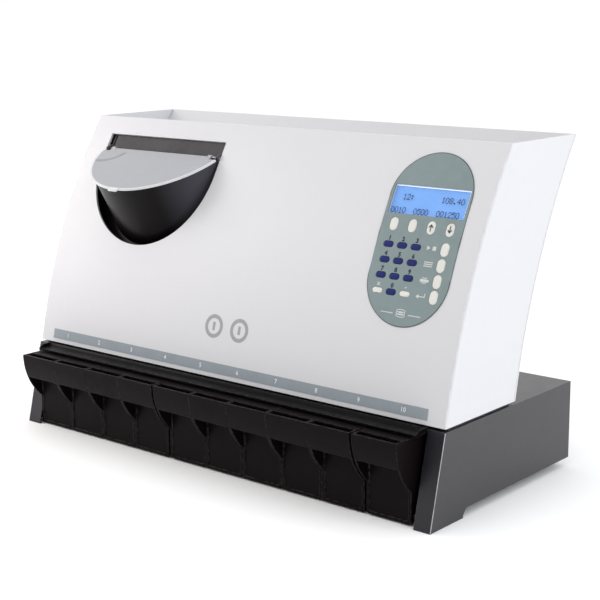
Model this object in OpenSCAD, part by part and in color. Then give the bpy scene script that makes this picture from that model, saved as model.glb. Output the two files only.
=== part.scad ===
// Ten-box desktop coin sorting machine.
// X runs left to right along the front, Y from front to back, Z up. The origin is on the table,
// in the middle of the machine's outline. Shapes are drawn from the front foot of the base
// (base_y = 0) and moved back to that origin by in_frame().

/* [Base] */
// Width of the sheet steel base
base_w = 640; // [600:1:760]
// Depth of the base along the table
base_d = 284; // [270:1:345]
// Height of the base
base_h = 102.6; // [100:0.1:124]
// Thickness of the base's sheet steel
sheet = 1.5; // [1:0.1:2]
// How far the front flanges lean back from foot to top
ear_lean = 25.2; // [18:0.1:30]
// Width of each front flange
ear_w = 21.4; // [16:0.1:22]
// Length of the side plates' front foot
foot_len = 61; // [40:1:90]
// Height of the side plates' raised lower edge
skirt_lift = 10.2; // [8:0.1:14]
// Diameter of the rubber feet
foot_dia = 24; // [16:1:30]

/* [Coin boxes] */
// Number of coin boxes
box_count = 10; // [2:1:10]
// Width of one coin box
box_w = 58; // [48:0.1:58.6]
// Length of a box behind its front plate
box_len = 200; // [160:1:203]
// Height of a box's top edge over the table
box_top = 97; // [90:0.1:98]
// Height of the front plate's lower edge over the table
box_skirt = 2; // [1.5:0.1:8]
// Wall thickness of a box
box_wall = 2; // [1.4:0.1:2.4]
// How far the handle lip stands out in front of the base
lip_reach = 22.3; // [16:0.1:24]
// Height of the handle lip
lip_h = 30; // [20:0.1:34]
// Radius of the handle's curved profile
lip_curve = 78; // [70:1:95]
// Clear gap between neighbouring boxes
box_gap = 0.6; // [0.4:0.1:1.6]
// Extra play left beside the fourth and ninth box
wide_gap = 2.4; // [0:0.1:3]

/* [Housing] */
// Height of the housing's top rim over the table
body_top = 390.4; // [360:0.1:460]
// Gap between the base and the housing
body_gap = 3.4; // [2:0.1:6]
// Horizontal depth of the housing, front face to rear face
body_d = 135.5; // [130:0.1:150]
// Radius of the convex front face
front_r = 789.8; // [760:0.1:840]
// Lean of the front face at its lower edge, in degrees
lean0 = 11.16; // [9:0.01:13]
// Distance of the front face's lower edge behind the base's front foot
body_y = 26.25; // [24:0.01:32]
// Thickness of the housing's moulded wall
wall = 3; // [2:0.1:3.4]
// Radius of the housing's front corners
corner_r = 2.2; // [1.6:0.1:6]
// Thickness of the rear panel
back_t = 2.5; // [1.5:0.1:3]
// Depth of the tray in the top
tray_h = 39; // [34:0.1:40]

/* [Hopper] */
// Centre of the hopper along the front
hop_x = -180.3; // [-185:0.1:-170]
// Radius of the round opening in the front face
hop_r = 102.3; // [90:0.1:106]
// Height of the opening's centre, measured along the front face
hop_s = 243; // [238:0.1:246]
// Height of the opening's straight top, measured along the front face
hop_top = 284.5; // [283:0.1:288]
// Depth of the black collar behind the opening's edge
collar = 12; // [6:0.1:13]
// Height of the crossbar over the lid
bar_h = 18.8; // [14:0.1:19.4]
// Downward tilt of the closed lid, in degrees
lid_tilt = 25; // [20:0.1:28]
// Thickness of the lid
lid_t = 1.6; // [1.2:0.1:2.4]
// Radius of the lid's hinge pins
pin_r = 2; // [1.5:0.1:2.4]
// Wall of the hopper bowl
bowl_wall = 2.5; // [1.5:0.1:3]

/* [Control panel] */
// Centre of the control panel along the front
panel_x = 240.7; // [225:0.1:245]
// Width of the panel's overlay
panel_w = 105.6; // [102:0.1:112]
// Length of the overlay, measured along the front face
panel_l = 196.6; // [194:0.1:204]
// Height of the overlay's middle, measured along the front face
panel_s = 194.3; // [190:0.1:198]
// Thickness of the overlay
film = 1.4; // [1:0.1:1.8]
// Width of the display window
lcd_w = 98.3; // [80:0.1:99]
// Height of the display window
lcd_h = 33.7; // [28:0.1:34]
// Width of a number key
key_w = 13.1; // [10:0.1:14]
// Height of a number key
key_h = 6.9; // [5:0.1:8]
// Width of an upright function key
fkey_w = 10.2; // [8:0.1:11]
// Height of an upright function key
fkey_h = 15.2; // [12:0.1:15.6]
// Travel of every key
key_travel = 0.5; // [0.3:0.05:0.7]

/* [Works] */
// Radius of the feed disc
disc_r = 66; // [50:1:70]
// Thickness of the feed disc
disc_t = 4; // [3:0.1:5]
// Radius of the belt pulleys
pulley_r = 9; // [7:0.1:11]
// Thickness of the transport belt
belt_t = 1.5; // [1:0.1:2]
// Radius of the disc's drive shaft
shaft_r = 4; // [3:0.1:6]

/* [Hidden] */

$fn = 64;
fine = 360;        // segments of the large front and rear curves
fit = 0.3;         // clearance between neighbouring pieces
run = 0.05;        // radial clearance of a turning fit
big = 1200;        // larger than the whole machine

// -- places worked out from the sizes above --
mid_y = (base_d - lip_reach) / 2;
front_cy = body_y + front_r * cos(lean0);
body_z = base_h + body_gap;
front_cz = body_z - front_r * sin(lean0);
body_w = base_w - 1;
in_w = body_w - 2 * wall;
bay_w = base_w - 2 * ear_w;
boxes_w = box_count * box_w + (box_count - 1) * box_gap + (box_count > 4 ? wide_gap : 0)
    + (box_count > 9 ? wide_gap : 0);
boxes_x = -(bay_w - 2 * box_gap) / 2;
floor_z = skirt_lift + 0.3;
box_floor = floor_z + sheet + fit;
box_y = 5;
junction_z = box_top - sqrt(pow(lip_curve, 2) - pow(lip_curve - lip_reach - box_y, 2));
slot_w = 8.5;
lip_t = 3;
plate_wall = box_wall + 1;
deck_t = 2.4;
panel_deep = 0.9;
deck_end = box_y + plate_wall + 6;
bay_y = 92;
bay_d = 36;
chute_w = 44;

function lean(s) = lean0 + s / front_r * 180 / PI;
function front_y(z) = front_cy - sqrt(pow(front_r, 2) - pow(z - front_cz, 2));
function front_s(z) = (asin((z - front_cz) / front_r) - lean0) * PI / 180 * front_r;
function box_x(i) = boxes_x + box_w / 2 + (i - 1) * (box_w + box_gap) + (i > 4 ? wide_gap : 0)
    + (i > 9 ? wide_gap : 0);

// the sorting works stand on a flat plate parallel to the front face at this height along it
works_s = 150;
plate_w = -48;      // face of the sorting plate behind the front face
plate_t = 2;
disc_v = 42;        // centre of the feed disc above works_s
disc_back = plate_w + 1;
disc_face = disc_back + disc_t;
rail_v = -88;
belt_v = rail_v + 6 + pulley_r + belt_t;
plate_x = 306;      // half length of the sorting plate
pulley_x = 290;
belt_w = 5;

// hinge of the lid, on the front face just under the crossbar
bar_s = hop_top - 0.4 - bar_h / 2;
hinge_s = bar_s - bar_h / 2 - 2.6;
hinge_y = front_cy - front_r * cos(lean(hinge_s));
hinge_z = front_cz + front_r * sin(lean(hinge_s));
bowl_back = 12;     // bowl's axis behind the hinge, in the lid's plane
bowl_r = hop_r - 2.3;
bowl_taper = 0.07;
bowl_deep = 132;
lid_r = hop_r + 0.3;

// mains inlet in the base's rear wall
inlet_x = -240;
inlet_z = 56;
inlet_w = 60;
inlet_h = 30;
rocker_dx = 18;
rocker_deep = 4;
rocker_pin_r = 1.2;
rocker_pin_l = 15;

// control panel rows, measured along the front face
lcd_s = 235.4;
lcd_dx = 0.3;
lcd_deep = 4;
key_top = 1.2;
key_flange = 1.2;
col_x = [204.4, 228.9, 253.3, 277.6];
num_x = [204.4, 222.4, 240.5];
num_s = [183.1, 165.7, 148.6, 131.4];
fun_s = [184, 166.4, 149.1, 132.1];
soft_s = 206;
clear_h = 6;

// name, place along the front, place up the front, width, height and colour of each key
KEYS = concat(
    [for (i = [0:3]) [["key_blank_1", "key_blank_2", "key_up", "key_down"][i],
        col_x[i], soft_s, fkey_w, fkey_h, "white"]],
    [for (r = [0:2], c = [0:2]) [str("key_", 1 + c + 3 * r), num_x[c], num_s[r], key_w, key_h, "navy"]],
    [["key_clear", num_x[0], num_s[3], key_w, clear_h, "white"],
     ["key_0", num_x[1], num_s[3], key_w, key_h, "navy"],
     ["key_point", num_x[2], num_s[3], key_w, clear_h, "white"]],
    [for (i = [0:3]) [["key_start_stop", "key_batch", "key_print", "key_enter"][i],
        col_x[3], fun_s[i], fkey_w, fkey_h, "white"]]);

BLACK = [0.09, 0.09, 0.1];
WHITE = [0.93, 0.93, 0.94];
STEEL = [0.7, 0.71, 0.73];

// -- helpers --
module in_frame() {
    translate([0, -mid_y, 0]) children();
}

// frame on the front face: X along the front, Y up the face, Z out of it
module on_front(x, s) {
    translate([x, front_cy - front_r * cos(lean(s)), front_cz + front_r * sin(lean(s))])
        rotate([90 - lean(s), 0, 0]) children();
}

module lid_frame() {
    translate([hop_x, hinge_y, hinge_z]) rotate([lid_tilt, 0, 0]) children();
}

// solid cylinder behind the front face (or behind a face moved in by inset, back by back)
module behind_front(inset, back, width) {
    translate([0, front_cy + back, front_cz]) rotate([0, 90, 0])
        cylinder(r = front_r - inset, h = width, center = true, $fn = fine);
}

module body_slab(z_low, z_high) {
    translate([-big / 2, 0, z_low]) cube([big, big / 2, z_high - z_low]);
}

module stadium(w, h) {
    r = min(w, h) / 2;
    if (w > h) {
        square([w - h, h], center = true);
        for (k = [-1, 1]) translate([k * (w - h) / 2, 0]) circle(r);
    } else {
        square([w, h - w], center = true);
        for (k = [-1, 1]) translate([0, k * (h - w) / 2]) circle(r);
    }
}

module pill(w, h, z_low, z_high) {
    translate([0, 0, z_low]) linear_extrude(z_high - z_low) stadium(w, h);
}

module block(x_size, y_low, y_high, z_low, z_high) {
    translate([-x_size / 2, y_low, z_low]) cube([x_size, y_high - y_low, z_high - z_low]);
}

// extrudes a (Y, Z) outline along X, centred
module along_x(width) {
    rotate([90, 0, 90]) linear_extrude(width, center = true) children();
}

module rounded(w, h, r) {
    square([w, h - 2 * r], center = true);
    square([w - 2 * r, h], center = true);
    for (x = [-1, 1], y = [-1, 1]) translate([x * (w / 2 - r), y * (h / 2 - r)]) circle(r);
}

// -- base --
module side_outline() {
    step = 6;
    polygon([[0, 0], [foot_len, 0], [foot_len, step / 2], [foot_len + step, skirt_lift],
        [base_d, skirt_lift], [base_d, base_h], [ear_lean, base_h]]);
}

module ear_outline() {
    polygon([[0, 0], [sheet, 0], [ear_lean + sheet, base_h], [ear_lean, base_h]]);
}

module base_shell() color(BLACK) in_frame() {
    for (k = [-1, 1]) {
        translate([k * (base_w - sheet) / 2, 0, 0]) along_x(sheet) side_outline();
        translate([k * (base_w - ear_w) / 2, 0, 0]) along_x(ear_w) ear_outline();
    }
    difference() {
        block(base_w, ear_lean, base_d, base_h - sheet, base_h);
        for (i = [1:box_count]) translate([box_x(i), 0, 0])
            block(chute_w + 2, bay_y - 1, bay_y + bay_d + 1, base_h - 2 * sheet, base_h + sheet);
    }
    // raised rim that carries the housing
    difference() {
        block(in_w - 2 * fit, body_y + wall + 6, body_y + body_d - 8, base_h - sheet / 2, body_z + 4);
        block(in_w - 8, body_y + wall + 9, body_y + body_d - 11, base_h - sheet, body_z + 6);
    }
}

module base_floor() color(BLACK) in_frame() {
    rear = base_d - sheet;
    inner_w = base_w - 2 * sheet - 0.2;
    difference() {
        union() {
            block(inner_w, 9, rear, floor_z, floor_z + sheet);
            block(inner_w, rear - sheet, rear, floor_z, base_h - sheet - fit);
        }
        // cut-outs for the mains inlet and the switch
        translate([inlet_x, 0, inlet_z]) block(inlet_w + 0.4, rear - 3, rear + 1, -inlet_h / 2 - 0.2, inlet_h / 2 + 0.2);
        for (i = [0:11]) translate([40 + i * 12, 0, 0])
            block(4, rear - 3, rear + 1, 40, 75);
    }
    // stop strip behind the boxes
    block(bay_w, box_y + box_len + 1, box_y + box_len + 3, floor_z + sheet / 2, floor_z + 22);
}

module rubber_feet() color([0.05, 0.05, 0.05]) in_frame() {
    foot_x = base_w / 2 - 36;
    for (x = [-foot_x, foot_x], y = [34, base_d - 32]) translate([x, y, 0])
        cylinder(d = foot_dia, h = floor_z);
}

module front_ledge() color(BLACK) in_frame() {
    nose = box_y - 0.5;
    low = box_top + 1.6;
    mid = base_h - 1.6;
    cove = 7;
    back = ear_lean - sheet - 0.4;
    along_x(bay_w - 1) difference() {
        union() {
            translate([nose, mid - sheet]) square([back - nose, sheet]);
            translate([nose, low]) square([sheet, mid - low]);
            translate([back - cove, mid - sheet]) square([cove + sheet, body_z - mid]);
            translate([back, mid - sheet]) square([14, sheet * 0.8]);
        }
        translate([back - cove, mid + cove]) circle(cove, $fn = 96);
    }
    for (k = [-1, 1]) translate([k * (bay_w - 1 - sheet) / 2, 0, 0])
        along_x(sheet) polygon([[nose, low], [back, low + 1], [back, body_z - 0.8], [nose + 6, body_z - 1.2],
            [nose, mid]]);
}

// -- coin boxes --
module handle_area() {
    intersection() {
        translate([lip_curve - lip_reach, box_top]) circle(lip_curve, $fn = 180);
        translate([-lip_reach - 1, junction_z]) square([lip_reach + box_y + plate_wall, box_top - junction_z]);
    }
}

module box_side() {
    handle_area();
    translate([box_y, box_floor]) square([box_len, box_top - box_floor]);
    translate([box_y, box_skirt]) square([plate_wall, junction_z - box_skirt + 1]);
}

module lip_outline() {
    intersection() {
        difference() {
            translate([lip_curve - lip_reach, box_top]) circle(lip_curve, $fn = 180);
            translate([lip_curve - lip_reach, box_top]) circle(lip_curve - lip_t, $fn = 180);
        }
        translate([-lip_reach - 1, box_top - lip_h]) square([lip_reach, lip_h]);
    }
}

module box_web() {
    lip_outline();
    // deck behind the slot
    translate([slot_w - lip_reach + lip_t + 1.4, box_top - deck_t])
        square([deck_end + lip_reach - lip_t - slot_w - 1.4, deck_t]);
    // front plate, from the skirt up to the deck
    translate([box_y, box_skirt]) square([plate_wall, box_top - deck_t / 2 - box_skirt]);
    translate([box_y, box_floor]) square([box_len, box_wall]);
    translate([box_y + box_len - box_wall, box_floor]) square([box_wall, box_top - box_floor - 3]);
}

module coin_box(i) color(BLACK) in_frame() translate([box_x(i), 0, 0]) difference() {
    union() {
        for (k = [-1, 1]) translate([k * (box_w - box_wall) / 2, 0, 0]) along_x(box_wall) box_side();
        along_x(box_w - 0.2) box_web();
    }
    // shallow panel in the front plate
    translate([0, box_y, (box_skirt + box_top - deck_t) / 2]) rotate([90, 0, 0])
        linear_extrude(2 * panel_deep, center = true) rounded(box_w - 7, box_top - deck_t - box_skirt - 6, 2);
    // rounded lower corners
    for (k = [-1, 1]) translate([k * (box_w / 2 - 3), 0, box_skirt + 3]) rotate([-90, 0, 0])
        difference() {
            translate([k > 0 ? 0 : -4, 0, 0]) cube([4, 4, box_y + plate_wall + 1]);
            translate([0, 0, -1]) cylinder(r = 3, h = box_y + plate_wall + 3, $fn = 32);
        }
}

// -- housing --
// round below, straight sides up to the crossbar
module hopper_outline(grow, under_bar) {
    r = hop_r + grow;
    h = under_bar ? bar_s - bar_h / 2 - hop_s - 2.2 : hop_top - hop_s;
    intersection() {
        circle(r, $fn = 180);
        translate([-r, -r]) square([2 * r, r + 1]);
    }
    translate([-r, 0]) square([2 * r, h]);
}

module shell_outline() {
    side = body_w / 2;
    difference() {
        union() {
            translate([front_r - 220, -side]) square([220 - corner_r, body_w]);
            translate([front_r - corner_r - 1, -side + corner_r]) square([corner_r + 1, body_w - 2 * corner_r]);
            for (k = [-1, 1]) translate([front_r - corner_r, k * (side - corner_r)]) circle(corner_r, $fn = 48);
        }
        translate([front_r - 240, -in_w / 2]) square([240 - wall, in_w]);
    }
}

module front_housing() color(WHITE) in_frame() {
    difference() {
        intersection() {
            translate([0, front_cy, front_cz]) rotate([0, 90, 0])
                rotate_extrude($fn = fine) shell_outline();
            body_slab(body_z, body_top);
        }
        behind_front(0, body_d - back_t - 0.6, big);
        on_front(hop_x, hop_s) translate([0, 0, -20]) linear_extrude(40) hopper_outline(0, false);
        // rebate and holes under the control panel
        intersection() {
            on_front(panel_x, panel_s) pill(panel_w + 0.5, panel_l + 0.5, -20, 20);
            difference() {
                behind_front(-5, 0, body_w);
                behind_front(film - 0.6, 0, big);
            }
        }
        on_front(panel_x + lcd_dx, lcd_s) translate([-lcd_w / 2, -lcd_h / 2, -10]) cube([lcd_w, lcd_h, 20]);
        for (k = KEYS) on_front(k[1], k[2]) pill(k[3] + 1, k[4] + 1, -10, 10);
    }
}

module back_panel() color(WHITE) in_frame() intersection() {
    difference() {
        behind_front(0, body_d - back_t, body_w);
        behind_front(0, body_d, big);
        // ventilation slots
        for (i = [0:17]) translate([-204 + i * 24, 0, body_z + 40]) block(5, 100, 300, 0, 46);
    }
    body_slab(body_z, body_top);
}

module top_tray() color(WHITE) in_frame() {
    low = body_top - tray_h;
    riser_y = front_y(body_top) + 10;
    rim = body_top - 5.4;
    w = in_w - 2 * fit;
    rear = front_y(low) + body_d - back_t - 2;
    block(w, riser_y, rear, low, low + 1.5);
    block(w, riser_y, riser_y + 1.5, low, rim);
    block(w, front_y(rim) + wall + 2.4, riser_y + 1.5, rim - 1.5, rim);
    block(w, rear - 1.5, rear, low, low + 10);
    for (k = [-1, 1]) translate([k * (w - 1.5) / 2, 0, 0]) block(1.5, riser_y, rear, low, low + 10);
}

module number_strip() color([0.57, 0.61, 0.65]) in_frame() intersection() {
    difference() {
        behind_front(-0.35, 0, boxes_w + 0.8);
        behind_front(0, 0, big);
    }
    on_front(0, 11.1) translate([-big / 2, -6.1, -3]) cube([big, 12.2, 6]);
}

// -- hopper --
module bowl_cone(grow, deep) {
    translate([0, bowl_back, -deep])
        cylinder(r1 = bowl_r + grow - bowl_taper * deep, r2 = bowl_r + grow, h = deep, $fn = 180);
}

module hopper_bezel() color(BLACK) in_frame() {
    deep = collar + 9.5;
    difference() {
        union() {
            on_front(hop_x, hop_s) translate([0, 0, -deep]) linear_extrude(2) hopper_outline(8, false);
            on_front(hop_x, hop_s) translate([0, 0, -deep]) linear_extrude(8) difference() {
                hopper_outline(8, false);
                hopper_outline(5.6, false);
            }
        }
        lid_frame() translate([0, 0, 3]) bowl_cone(1.2, bowl_deep);
    }
    // collar between the recess and the edge of the opening
    difference() {
        on_front(hop_x, hop_s) translate([0, 0, -deep]) linear_extrude(deep + 20) difference() {
            hopper_outline(2.4, true);
            hopper_outline(0.2, true);
        }
        difference() {
            behind_front(-big / 8, 0, big);
            behind_front(wall + fit, 0, big + 2);
        }
    }
    // slotted end plate beside the crossbar
    on_front(hop_x - hop_r + 2.2, bar_s) {
        translate([0, 0, -10]) cube([1.2, bar_h - 1, 12], center = true);
        translate([0.9, 0, -17.5]) cube([3, bar_h - 1, 6.8], center = true);
    }
}

module hopper_bar() color([0.37, 0.36, 0.37]) in_frame() {
    left = -hop_r + 10;
    right = hop_r - 0.5;
    on_front(hop_x, bar_s) translate([left, -bar_h / 2, -8]) cube([right - left, bar_h, 5.5]);
    // lugs that hold the hinge pins
    difference() {
        union() {
            for (x = [left - 5, right - 3]) lid_frame() translate([x, -4, -4]) cube([3, 8, 8]);
            on_front(hop_x, bar_s) translate([left - 5, -bar_h / 2, -8]) cube([5.5, 6, 3]);
            // thin end flange of the crossbar
            on_front(hop_x, bar_s) translate([left - 5, -bar_h / 2, -8]) cube([1.6, bar_h - 1, 5]);
        }
        lid_frame() rotate([0, 90, 0]) cylinder(r = pin_r, h = 400, center = true);
    }
}

module hinge_pins() color([0.85, 0.85, 0.86]) in_frame() lid_frame() {
    left = -hop_r + 4.6;
    right = hop_r - 0.3;
    pin_len = 16;
    for (x = [left, right - pin_len]) translate([x, 0, 0]) rotate([0, 90, 0]) cylinder(r = pin_r, h = pin_len);
}

module hopper_bowl() color(BLACK) in_frame() difference() {
    lid_frame() union() {
        difference() {
            bowl_cone(0, bowl_deep);
            translate([0, 0, 0.5]) bowl_cone(-bowl_wall, bowl_deep + 2);
            translate([-big / 2, -4.8, -40]) cube([big, big, 80]);
        }
        // straight rear wall under the crossbar
        intersection() {
            bowl_cone(0, bowl_deep);
            translate([-big / 2, -6.8, -40]) cube([big, 2, 36]);
        }
    }
    lid_frame() translate([-big / 2, -big / 2, -0.5]) cube([big, big, 80]);
    on_front(0, works_s) translate([-big / 2, -big / 2, disc_face + 1 - 300]) cube([big, big, 300]);
}

module hopper_lid() color([0.8, 0.81, 0.83, 0.85]) in_frame() lid_frame() {
    arm = hop_r - 13.5;
    edge = 7;
    difference() {
        union() {
            intersection() {
                translate([0, bowl_back, 0.4]) cylinder(r = lid_r, h = lid_t, $fn = 180);
                union() {
                    translate([-big / 2, -big / 2, -1]) cube([big, big / 2 - edge, 20]);
                    translate([-arm, -edge - 1, -1]) cube([2 * arm, edge + 0.6, 20]);
                }
            }
            intersection() {
                translate([0, bowl_back, -0.4]) difference() {
                    cylinder(r = lid_r, h = lid_t + 1, $fn = 180);
                    translate([0, 0, -1]) cylinder(r = bowl_r + 0.7, h = lid_t + 4, $fn = 180);
                }
                translate([-big / 2, -big / 2, -4]) cube([big, big / 2 - edge, 20]);
            }
            // finger tab
            translate([0, bowl_back - lid_r - 1, 0.4]) intersection() {
                cylinder(r = 8, h = 2);
                translate([-7, -3, -1]) cube([14, 7, 5]);
            }
            // hinge arms and knuckles
            for (x = [-arm, arm - 6]) {
                translate([x, 0, 0]) rotate([0, 90, 0]) cylinder(r = 3.2, h = 6);
                translate([x, -edge - 4, 0.4]) cube([6, edge + 3.6, lid_t]);
            }
        }
        rotate([0, 90, 0]) cylinder(r = pin_r + run, h = 400, center = true);
    }
}

// -- control panel --
module panel_overlay() color([0.57, 0.63, 0.62]) in_frame() difference() {
    intersection() {
        on_front(panel_x, panel_s) pill(panel_w, panel_l, -20, 20);
        difference() {
            behind_front(-0.6, 0, body_w);
            behind_front(film - 0.6, 0, big);
        }
    }
    on_front(panel_x + lcd_dx, lcd_s) translate([-lcd_w / 2, -lcd_h / 2, -10]) cube([lcd_w, lcd_h, 20]);
    for (k = KEYS) on_front(k[1], k[2]) pill(k[3] + 0.4, k[4] + 0.4, -10, 10);
}

module lcd_window() color([0.6, 0.75, 0.95, 0.5]) in_frame()
    on_front(panel_x + lcd_dx, lcd_s)
        translate([-lcd_w / 2 + 0.2, -lcd_h / 2 + 0.2, -2.8]) cube([lcd_w - 0.4, lcd_h - 0.4, 0.8]);

module lcd_module() color([0.2, 0.45, 0.85]) in_frame() on_front(panel_x + lcd_dx, lcd_s) {
    translate([-lcd_w / 2 - 1.5, -lcd_h / 2 - 1.2, -lcd_deep - 5]) cube([lcd_w + 3, lcd_h + 2.4, 5]);
    translate([-lcd_w / 2 - 4, -lcd_h / 2 - 1.8, -lcd_deep - 6.6]) cube([lcd_w + 8, lcd_h + 3.6, 1.6]);
}

module key(k) color(k[5] == "navy" ? [0.12, 0.17, 0.42] : [0.88, 0.88, 0.86]) in_frame()
    on_front(k[1], k[2]) {
        pill(k[3], k[4], -wall - 0.7 - key_flange, key_top);
        pill(k[3] + 2.4, k[4] + 0.8, -wall - 0.7 - key_flange, -wall - 0.7);
        translate([0, 0, -wall - 3.4]) cylinder(r = 1.5, h = 3);
    }

module key_board() color([0.1, 0.35, 0.2]) in_frame() {
    board_s = (soft_s + num_s[3]) / 2;
    half = (soft_s - num_s[3]) / 2 + 7.6;
    on_front(panel_x, board_s) translate([-panel_w / 2 + 3, -half, -13]) cube([panel_w - 6, 2 * half, 1.6]);
    for (k = KEYS) on_front(k[1], k[2])
        translate([0, 0, -13]) cylinder(r = 2.6, h = 13 - wall - 3.5 - key_travel);
}

// -- sorting works --
module works() {
    on_front(0, works_s) children();
}

module sort_plate() color(STEEL) in_frame() works() difference() {
    union() {
        translate([-plate_x, -124, plate_w - plate_t]) cube([2 * plate_x, 232, plate_t]);
        for (x = [-plate_x, plate_x - 2]) translate([x, -124, plate_w - 22]) cube([2, 232, 21]);
    }
    translate([hop_x, disc_v, plate_w - 10]) cylinder(r = shaft_r + run, h = 20);
    for (x = [-pulley_x, pulley_x]) translate([x, belt_v, plate_w - 10]) cylinder(r = 3 + run, h = 20);
    // sorting slots, taller from left to right
    for (i = [1:box_count]) translate([box_x(i) - 15, rail_v + 1, plate_w - 10])
        cube([30, 15 + 1.2 * i, 20]);
}

module coin_rail() color([0.75, 0.75, 0.77]) in_frame() works() {
    translate([-292, rail_v - 4, plate_w]) cube([584, 4, 9]);
    for (i = [0:5]) translate([-270 + i * 108, rail_v - 14, plate_w]) cube([12, 11, 3]);
    // guide from the feed disc down to the rail
    translate([hop_x - disc_r - 20, rail_v + 32, plate_w]) cube([3, 60, 9]);
}

module feed_disc() color([0.82, 0.8, 0.72]) in_frame() works() translate([hop_x, disc_v, 0]) {
    translate([0, 0, disc_back]) cylinder(r = disc_r, h = disc_t, $fn = 120);
    translate([0, 0, disc_face - 0.5]) cylinder(r = 16, h = 3.5);
    translate([0, 0, plate_w - plate_t - 14]) cylinder(r = shaft_r, h = 16 + plate_t);
    for (i = [0:11]) rotate([0, 0, i * 30]) translate([disc_r - 9, 0, disc_face - 0.5]) cylinder(r = 2, h = 2.5, $fn = 24);
}

module drive_motors() color([0.55, 0.56, 0.58]) in_frame() works() {
    back = plate_w - plate_t;
    difference() {
        union() {
            translate([hop_x - 26, disc_v - 26, back - 20]) cube([52, 52, 20]);
            translate([hop_x, disc_v, back - 62]) cylinder(r = 21, h = 43);
            translate([pulley_x - 12, belt_v - 12, back - 12]) cube([24, 24, 12]);
            translate([pulley_x, belt_v, back - 46]) cylinder(r = 11.5, h = 35);
        }
        translate([hop_x, disc_v, back - 15]) cylinder(r = shaft_r + run, h = 30);
        translate([pulley_x, belt_v, back - 9]) cylinder(r = 3 + run, h = 30);
    }
}

module pulley(x, tail) {
    works() translate([x, belt_v, 0]) {
        translate([0, 0, plate_w + 1.5]) cylinder(r = pulley_r, h = belt_w + 1);
        translate([0, 0, plate_w + 1.5 + belt_w + 0.5]) cylinder(r = pulley_r + 2, h = 1);
        translate([0, 0, plate_w - tail]) cylinder(r = 3, h = tail + 2);
    }
}

module drive_pulley() color([0.3, 0.3, 0.32]) in_frame() pulley(pulley_x, plate_t + 8);

module idler_pulley() color([0.3, 0.3, 0.32]) in_frame() pulley(-pulley_x, plate_t + 4);

module transport_belt() color([0.12, 0.2, 0.15]) in_frame() works()
    translate([0, belt_v, plate_w + 1.8]) linear_extrude(belt_w - 0.4) difference() {
        stadium(2 * (pulley_x + pulley_r + run + belt_t), 2 * (pulley_r + run + belt_t));
        stadium(2 * (pulley_x + pulley_r + run), 2 * (pulley_r + run));
    }

module chute_rack() color([0.25, 0.25, 0.27]) in_frame() {
    top = 126;
    for (i = [1:box_count]) translate([box_x(i), 0, 0]) difference() {
        block(chute_w, bay_y, bay_y + bay_d, base_h - sheet - 1, top);
        block(chute_w - 3, bay_y + 1.5, bay_y + bay_d - 1.5, base_h - 6, top + 1);
    }
    // strip that joins the chutes
    block(bay_w - 24, bay_y + bay_d - 0.5, bay_y + bay_d + 1, base_h + 1, top);
}

module gate_solenoids() color([0.8, 0.6, 0.2]) in_frame() works()
    for (i = [1:box_count]) translate([box_x(i), rail_v + 44, plate_w - plate_t]) {
        translate([0, 0, -24]) cylinder(r = 7, h = 24);
        translate([0, 0, -30]) cylinder(r = 2.5, h = 10);
        translate([-9, -8, -2]) cube([18, 16, 2]);
    }

module control_board() color([0.1, 0.35, 0.2]) in_frame() on_front(200, 165) {
    translate([-90, -45, -34]) cube([180, 90, 1.6]);
    for (i = [0:3]) translate([-70 + i * 40, -30, -32.6]) cube([22, 22, 3]);
    for (i = [0:5]) translate([-75 + i * 28, 34, -32.6]) cube([16, 8, 9]);
    for (i = [0:2]) translate([-60 + i * 30, 8, -32.6]) cylinder(r = 6, h = 12);
}

module power_supply() color(STEEL) in_frame() {
    low = floor_z + sheet;
    y0 = box_y + box_len + 6;
    difference() {
        translate([-120, 0, 0]) block(150, y0, base_d - 12, low, low + 62);
        for (i = [0:9]) translate([-180 + i * 12, 0, 0]) block(4, y0 + 10, base_d - 22, low + 58, low + 70);
    }
}

module power_inlet() color([0.07, 0.07, 0.08]) in_frame() translate([inlet_x, base_d - sheet, inlet_z]) difference() {
    union() {
        block(inlet_w, -26, 0, -inlet_h / 2, inlet_h / 2);
        block(inlet_w + 8, 0, 1.2, -inlet_h / 2 - 4, inlet_h / 2 + 4);
    }
    // socket for the mains plug
    translate([-14, 0, 0]) block(24, -18, 2, -9, 9);
    // well and pivot bore for the rocker
    translate([rocker_dx, 0, 0]) block(12, -14, 2, -10.5, 10.5);
    translate([rocker_dx, -rocker_deep, 0]) rotate([0, 90, 0])
        cylinder(r = rocker_pin_r + run, h = rocker_pin_l + 0.4, center = true);
}

module power_rocker() color([0.1, 0.1, 0.1]) in_frame()
    translate([inlet_x + rocker_dx, base_d - sheet - rocker_deep, inlet_z]) rotate([8, 0, 0]) {
        difference() {
            block(11, -4, 3.4, -9, 9);
            translate([0, 61.8, 0]) rotate([0, 90, 0]) cylinder(r = 60, h = 20, center = true, $fn = 180);
        }
        rotate([0, 90, 0]) cylinder(r = rocker_pin_r, h = rocker_pin_l, center = true);
    }

// -- all pieces --
base_shell();
base_floor();
rubber_feet();
front_ledge();
front_housing();
back_panel();
top_tray();
number_strip();
hopper_bezel();
hopper_bar();
hinge_pins();
hopper_bowl();
hopper_lid();
panel_overlay();
lcd_window();
lcd_module();
key_board();
sort_plate();
coin_rail();
feed_disc();
drive_motors();
drive_pulley();
idler_pulley();
transport_belt();
chute_rack();
gate_solenoids();
control_board();
power_supply();
power_inlet();
power_rocker();
for (k = KEYS) key(k);
for (i = [1:box_count]) coin_box(i);
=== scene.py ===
"""A ten-box desktop coin sorter: its looks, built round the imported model, in metres."""

import math

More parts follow.
